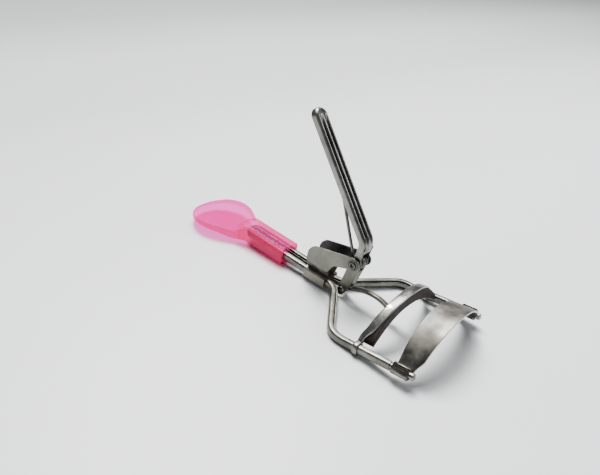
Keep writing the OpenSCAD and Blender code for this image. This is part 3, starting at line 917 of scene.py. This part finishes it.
def weld():
    """A ragged patch of weld on the band's top, beside its crown; its very bright steel is a painted
    highlight.
    """
    rings, spokes = 5, 22
    middle_x, middle_y = -13.75, -7.9
    half_x, half_y = 0.95, 1.5
    verts, faces = [], []
    for i in range(rings):
        for a in around(spokes):
            ragged = 1.0 + 0.16 * math.sin(3 * a + 0.7) + 0.10 * math.sin(7 * a)
            out = i / (rings - 1) * ragged
            y = middle_y + half_y * out * math.sin(a)
            x = bowed(middle_x, 2.8, y) + half_x * out * math.cos(a)
            rise = 0.17 * (1.0 - (i / (rings - 1)) ** 2) + 0.05 * math.sin(5 * a + 2.0 * i)
            verts.append(Vector((x, y, jaw_top(y) + (rise if i < rings - 1 else -0.06))))
    for i in range(rings - 1):
        for k in range(spokes):
            m = (k + 1) % spokes
            faces.append((i * spokes + k, i * spokes + m, (i + 1) * spokes + m, (i + 1) * spokes + k))
    return verts, faces


def pad_shape():
    """Rubber pressed into the channel, its rounded nose standing out of it and a little uneven."""
    gap, front, half_length = 0.03, -12.9, 15.4
    loops = []
    for y in spaced(-half_length, half_length, 55):
        squeeze = math.sqrt(max(0.0, 1.0 - (abs(y) / (half_length + 0.2)) ** 10))
        high = jaw_top(y) - CHANNEL - gap
        low = jaw_low(y) + CHANNEL + gap
        middle = (high + low) / 2.0
        half = (high - low) / 2.0 * (0.55 + 0.45 * squeeze)
        back = bowed(BACK_X + CHANNEL + gap, BACK_BOW, y)
        swell = 0.05 * math.sin(1.7 * y) + 0.04 * math.sin(4.1 * y + 1.0)
        r = min(0.4, 0.45 * half)
        loop = [(back, middle - half), (back, middle + half), (front - 0.75, middle + half)]
        loop += arc(front - r, middle + half - r, r, 80, 0, 4)
        loop += [(front + min(0.0, swell - 0.09), middle)]
        loop += arc(front - r, middle - half + r, r, 0, -80, 4)
        loop += [(front - 0.75, middle - half)]
        loops.append([Vector((x, y, z)) for x, z in loop])
    return loft(loops)


band, band_light_and_shade = jaw_shape()
piece("rear_jaw_channel", band, WORN, "sliding_jaw", ["moving_jaw"], sharp=48.0, painted_light=band_light_and_shade)
piece("rear_jaw_rings", together(ring(-1), ring(1)), WORN, "sliding_jaw", sharp=60.0)
piece("rear_jaw_lug", lug(), STEEL, "sliding_jaw", sharp=60.0, bevel=0.15)
piece("rear_jaw_weld", weld(), WELD_GLINT, "sliding_jaw", sharp=70.0)
piece("pad", pad_shape(), PAD, "sliding_jaw", ["jaw_pad"], sharp=50.0)

# ---- Push rod and crank pin ----

CRANK_BACK = 4.4
CRANK_DROP = 10.1
PIN = PIVOT - Vector((CRANK_BACK, 0.0, CRANK_DROP))
PIN_HALF = 1.95
PIN_TURNS = 28
ROD_POINTS = 40
ROD_SEAM = math.radians(84)
ROD_ROUTE = [
    (-34.3, 3.1),
    (-32.3, 3.5),
    (-30.0, 4.0),
    (-27.6, 4.52),
    (-25.2, 4.72),
    (-22.6, 4.4),
    (-20.4, 3.55),
    (-18.9, 2.6),
    (-17.7, 1.7),
]


def both_ends(profile):
    """A profile of (radius, place) for one end of a pin, with its mirror image at the other end."""
    return [(r, -s) for r, s in profile] + profile[::-1]


rod_eye = turned(both_ends([(0.52, 0.7), (1.0, 0.7), (1.1, 0.6)]), PIN, ACROSS, PIN_TURNS)
rod_path = through([Vector((x, 0.0, z)) for x, z in ROD_ROUTE])
rod_section = rolled(0.84, 0.60, ROD_SEAM, 0.26, 0.24, ROD_POINTS)
rod = together(tube(rod_path, rod_section), rod_eye)
# painted shade in the rod's slit
rod_shade = [0.75 * v for v in seam_shade(ROD_SEAM, 0.21, ROD_POINTS)] * len(rod_path)
piece("push_strip", rod, STEEL, "sliding_jaw", ["push_rod"], sharp=55.0, painted_light=rod_shade)
pin_head = [(0.01, PIN_HALF), (0.6, 1.93), (0.85, 1.8), (0.9, 1.66), (0.5, 1.65)]
cross_pin = turned(both_ends(pin_head), PIN, ACROSS, PIN_TURNS)
piece("cross_pin", cross_pin, BRIGHT, "sliding_jaw", ["crank_pin"], sharp=55.0)

# ---- Crank: two cheeks and a web in front, bent from one sheet ----

LEAN = math.atan2(CRANK_BACK, CRANK_DROP)
CRANK_HALF = 1.85
CRANK_OUT = 1.6
CRANK_FOOT = -12.2
CRANK_FOOT_R = 1.15


def in_crank(x, z):
    """A point of the crank's side view, measured from the rivet along the hanging crank."""
    return (
        PIVOT.x + x * math.cos(LEAN) + z * math.sin(LEAN),
        PIVOT.z - x * math.sin(LEAN) + z * math.cos(LEAN),
    )


def crank_cheek():
    outline = [(-CRANK_HALF, 0.0), (-1.55, -5.5), (-CRANK_FOOT_R, CRANK_FOOT)]
    outline += arc(0.0, CRANK_FOOT, CRANK_FOOT_R, 180, 360, 13)
    outline += [(1.3, -11.2), (CRANK_HALF, -8.8), (CRANK_HALF, -5.5), (CRANK_HALF, 0.0)]
    outline += arc(0.0, 0.0, CRANK_HALF, 0, 180, 15)[1:-1]
    return [in_crank(x, z) for x, z in outline]


def crank_web():
    inner, top, low = CRANK_HALF - SHEET, -2.0, -7.9
    outline = [(inner, top), (CRANK_HALF, top), (CRANK_HALF, low), (inner, low)]
    return plate([in_crank(x, z) for x, z in outline], -1.5, 1.5)


cheek = plate(crank_cheek(), -CRANK_OUT, SHEET - CRANK_OUT)
crank = together(cheek, mirrored(cheek), crank_web())
piece("crank_sheet", crank, FLAT, "lever", ["lever_crank"], sharp=50.0, bevel=0.08)

# ---- Lever: a polished channel with two flutes and a domed tip ----

LEVER_RISE = math.radians(59.8)
LEVER_BEND = math.radians(50.0)
LEVER_UP = Vector((-math.cos(LEVER_RISE), 0.0, math.sin(LEVER_RISE)))
FOOT_UP = Vector((-math.cos(LEVER_RISE + LEVER_BEND), 0.0, math.sin(LEVER_RISE + LEVER_BEND)))
LEG = 5.2
BEND_R = 4.0
LEVER_LEN = 34.8
LEVER_HALF = 2.3
LEVER_DEPTH = 2.2
LEVER_WALL = 0.55
FLUTE_Y = 0.86
FLUTE_HALF = 0.40
FLUTE_DEPTH = 0.62
FLUTED_ABOVE = 0.3
LEG_OUT = 2.15
LEG_SHEET = 0.47


def lever_path():
    """From the foot round the bend to the root of the domed tip."""
    foot = PIVOT + FOOT_UP * (LEG - 0.9)
    reach = BEND_R * math.tan(LEVER_BEND / 2.0)
    corner = PIVOT + FOOT_UP * (LEG + reach)
    end = corner + LEVER_UP * (reach + LEVER_LEN)
    bent = round_corners([foot, corner, end], [BEND_R], 14)[:-1]
    return bent + [bent[-1].lerp(end, t) for t in spaced(0.06, 1.0, 17)], end


def flute_share(y):
    return sum(math.exp(-abs((y - place) / FLUTE_HALF) ** 3) for place in (-FLUTE_Y, FLUTE_Y))


def lever_loop(half, depth, flute):
    """The channel's section: first number across, second towards the fluted face."""
    front, back = depth / 2.0, -depth / 2.0
    edge = min(0.85, 0.42 * depth, 0.45 * half)
    inner = half - LEVER_WALL
    loop = []
    for y in spaced(-(half - edge), half - edge, 31):
        crown = 0.10 * (1.0 - (y / half) ** 2)
        loop.append((y, front - 0.12 + crown - flute * flute_share(y)))
    turn = arc(half - edge, front - 0.1 - edge, edge, 90.0, 0.0, 6)[1:]
    loop += turn + [(half, back), (inner, back), (inner, 0.0), (inner - 0.3, 0.1)]
    loop += [(0.3 - inner, 0.1), (-inner, 0.0), (-inner, back), (-half, back)]
    return loop + [(-u, v) for u, v in reversed(turn)]


def lever_shape():
    """The channel, with its painted shade: the flutes are darkened with painted shade, which fades out at
    the foot and near the tip.
    """
    path, end = lever_path()
    loops, painted_light = [], []
    for i, p in enumerate(path):
        face = ACROSS.cross(heading(path, i)).normalized()
        rising = smooth(5.5, 9.5, (p - PIVOT).length)
        along = (p - path[0]).dot(LEVER_UP) - 2.6
        share = rising * (1.0 - smooth(LEVER_LEN - 1.6, LEVER_LEN + 0.1, along))
        section = lever_loop(LEVER_HALF, LEVER_DEPTH, FLUTE_DEPTH * share)
        loops.append([p + ACROSS * u + face * v for u, v in section])
        painted_light += [share * flute_share(u) if v > FLUTED_ABOVE else 0.0 for u, v in section]
    face = ACROSS.cross(LEVER_UP).normalized()
    for degrees in spaced(8.0, 84.0, 12):
        a = math.radians(degrees)
        depth = LEVER_DEPTH * (0.25 + 0.75 * math.cos(a) ** 0.6)
        middle = end + LEVER_UP * (LEVER_HALF * math.sin(a)) - face * (0.45 * (LEVER_DEPTH - depth))
        section = lever_loop(LEVER_HALF * math.cos(a), depth, 0.0)
        loops.append([middle + ACROSS * u + face * v for u, v in section])
    return loft(loops), painted_light


def leg():
    """The channel's side wall, carried down to the rivet."""
    face = ACROSS.cross(FOOT_UP).normalized()
    half, top, round_r = 1.1, LEG + 0.6, 1.8
    points = [(half, top), (-half, top), (-half, 2.6)]
    points += arc(0.0, 0.0, round_r, 180, 360, 15) + [(half, 2.6)]
    places = [PIVOT + face * u + FOOT_UP * v for u, v in points]
    return plate([(p.x, p.z) for p in places], -LEG_OUT, LEG_SHEET - LEG_OUT)


channel, channel_shade = lever_shape()
piece("lever_channel", channel, MIRROR, "lever", ["lever"], sharp=55.0, painted_light=channel_shade)
piece("lever_legs", together(leg(), mirrored(leg())), STEEL, "lever", sharp=50.0, bevel=0.08)

# ---- Return spring: a coil round the rivet, with one long leg up the lever's back ----

COIL_R = 1.65
COIL_TURNS = 2.25
COIL_POINTS = 55
COIL_START = 0.62
COIL_WIDTH = 1.1
WIRE_R = 0.46


def spring_path():
    coil = []
    for t in spaced(0.0, 1.0, COIL_POINTS):
        a = math.pi + math.tau * COIL_TURNS * (1.0 - t)
        y = COIL_START - COIL_WIDTH * t
        coil.append(PIVOT + Vector((COIL_R * math.cos(a), y, -COIL_R * math.sin(a))))
    end = COIL_START - COIL_WIDTH
    rise = [
        (-COIL_R, end, 0.0),
        (-2.35, end * 0.8, 3.0),
        (-3.5, end * 0.5, 6.6),
        (-4.6, end * 0.3, 10.2),
        (-5.9, 0.0, 14.4),
        (-7.1, 0.0, 18.5),
        (-8.3, 0.0, 22.3),
    ]
    return coil + through([PIVOT + Vector(p) for p in rise])[1:]


spring = tube(spring_path(), circle(WIRE_R, 12), lambda p: ACROSS)
piece("spring_wire", spring, WIRE, "lever", ["return_spring"], sharp=60.0)

# ---- Floor and light, in metres of the row frame ----

TABLE_HALF = 1.6


def floor():
    """A pale table, with painted shade that darkens it towards the far left."""
    m = material("pale_table")
    out = node(m, "ShaderNodeOutputMaterial")
    skin = node(m, "ShaderNodeBsdfPrincipled")
    skin.inputs["Roughness"].default_value = 0.42
    skin.inputs["Specular IOR Level"].default_value = 0.3
    where = object_place(m)
    across = node(m, "ShaderNodeVectorMath", operation="DOT_PRODUCT")
    across.inputs[1].default_value = (-1.3, 0.2, 0.0)
    link(m, where, across.inputs[0])
    shift = node(m, "ShaderNodeMath", operation="ADD")
    shift.inputs[1].default_value = 0.5
    link(m, across.outputs["Value"], shift.inputs[0])
    # painted shade: the colour falls off towards the far left
    stops = [(0.35, 0.74), (0.5, 0.73), (0.58, 0.67), (0.64, 0.62)]
    stops += [(0.7, 0.53), (0.8, 0.49), (0.93, 0.33), (1.0, 0.30)]
    slope = ramp(m, shift.outputs[0], [(place, (v, 1.022 * v, 1.035 * v)) for place, v in stops])
    uneven = ramp(m, noise(m, where, 9.0, 3.0), [(0.3, grey(0.97)), (0.7, grey(1.0))])
    link(m, mix_colour(m, 1.0, slope, uneven, "MULTIPLY"), skin.inputs["Base Color"])
    link(m, skin.outputs["BSDF"], out.inputs["Surface"])
    half = TABLE_HALF
    corners = [(-half, -half, 0.0), (half, -half, 0.0), (half, half, 0.0), (-half, half, 0.0)]
    mesh = bpy.data.meshes.new("table")
    mesh.from_pydata(corners, [], [(0, 1, 2, 3)])
    mesh.materials.append(m)
    thing = bpy.data.objects.new("table", mesh)
    bpy.context.scene.collection.objects.link(thing)
    return thing


def area(name, place, size, power, colour):
    """A soft rectangular light that faces the object."""
    data = bpy.data.lights.new(name, "AREA")
    data.shape = "RECTANGLE"
    data.size, data.size_y = size
    data.energy = power
    data.color = colour
    thing = bpy.data.objects.new(name, data)
    thing.location = place
    thing.rotation_euler = Vector(place).to_track_quat("Z", "Y").to_euler()
    bpy.context.scene.collection.objects.link(thing)


floor()
area("overhead", (-0.27, 0.25, 0.80), (0.62, 0.62), 14.5, (1.0, 0.997, 0.99))
area("key", (-0.34, 0.22, 0.70), (0.30, 0.30), 11.0, (1.0, 0.99, 0.975))
area("window", (0.55, 0.45, 0.42), (0.30, 0.22), 1.6, (0.95, 0.97, 1.0))
world = bpy.data.worlds.new("room")
world.use_nodes = True
room = world.node_tree.nodes["Background"]
room.inputs["Color"].default_value = (0.78, 0.81, 0.84, 1.0)
room.inputs["Strength"].default_value = 0.24
bpy.context.scene.world = world
